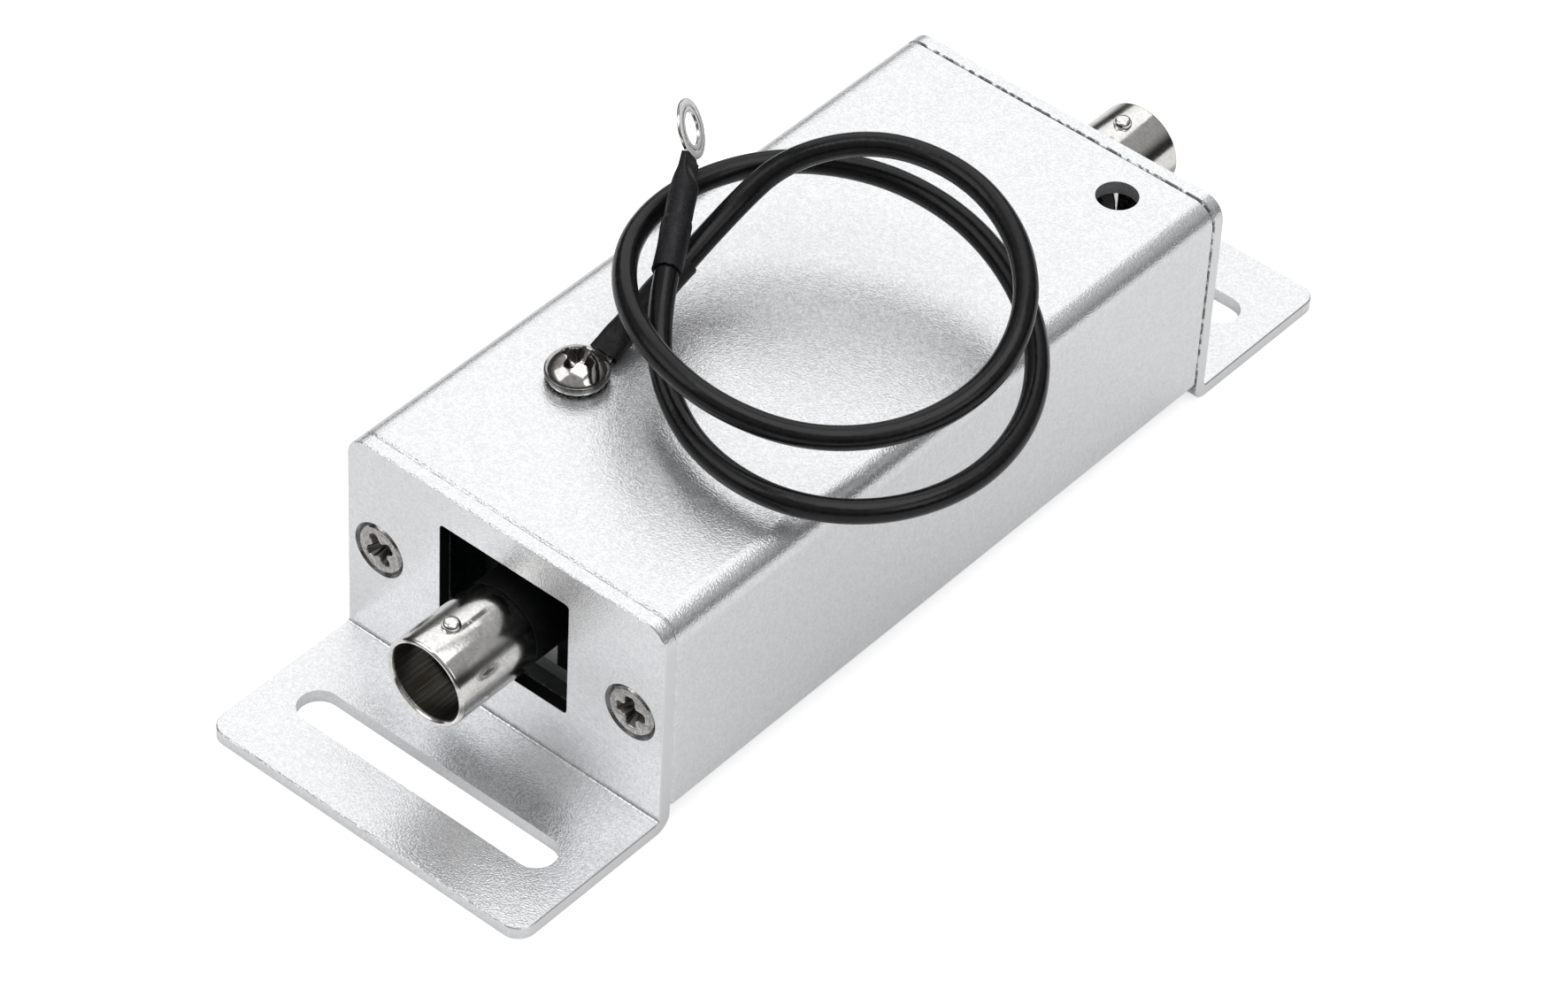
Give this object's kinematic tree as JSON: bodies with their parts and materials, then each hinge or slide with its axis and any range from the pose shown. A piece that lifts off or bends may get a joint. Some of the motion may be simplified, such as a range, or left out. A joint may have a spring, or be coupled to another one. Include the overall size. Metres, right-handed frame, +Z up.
{
  "type": "coaxial surge protector",
  "caption": "Aluminium box with a bayonet coaxial jack at each end, slotted mounting feet and a ground lead on top, for clamping surges on a coaxial line.",
  "frame": {"origin": "middle of the underside of the two mounting feet, which is the plane the box is screwed down on", "axes": "+X to the right seen from the front jack, +Y from the front jack to the rear jack, +Z up out of the mounting surface"},
  "size_m": [0.0504, 0.1222, 0.0422],
  "materials": {
    "anodised": "sand-blasted and clear anodised",
    "nickel": "bright nickel plate",
    "screw": "nickel-plated steel",
    "black_plastic": "moulded",
    "fluoropolymer": "turned, waxy",
    "gilt": "gold-plated",
    "board": "solder-masked glass fibre",
    "ceramic_tube": "fired ceramic with plated caps",
    "diode": "moulded epoxy",
    "resistor": "lacquered",
    "tinned": "tinned copper",
    "spring_steel": "plated spring steel",
    "pvc": "satin black insulation",
    "shrink": "heat-shrunk sleeve"
  },
  "bodies": {
    "root": {"housing": "anodised", "front_plate": "anodised", "rear_plate": "anodised", "plate_screw_front_left": "screw", "plate_screw_front_right": "screw", "plate_screw_rear_left": "screw", "plate_screw_rear_right": "screw", "front_jack_shell": "nickel", "rear_jack_shell": "nickel", "front_jack_body": "black_plastic", "rear_jack_body": "black_plastic", "front_jack_insulator": "fluoropolymer", "rear_jack_insulator": "fluoropolymer", "front_jack_contact": "gilt", "rear_jack_contact": "gilt", "circuit_board": "board", "gas_discharge_tube": "ceramic_tube", "surge_diode_1": "diode", "surge_diode_2": "diode", "series_resistor_1": "resistor", "series_resistor_2": "resistor", "ground_screw": "screw", "flat_washer": "screw", "tooth_washer": "spring_steel", "ground_nut": "screw", "earth_strap": "tinned", "inner_ring_terminal": "tinned", "inner_sleeve": "shrink", "ground_wire": "pvc", "outer_sleeve": "shrink", "outer_ring_terminal": "tinned"}
  },
  "joints": []
}
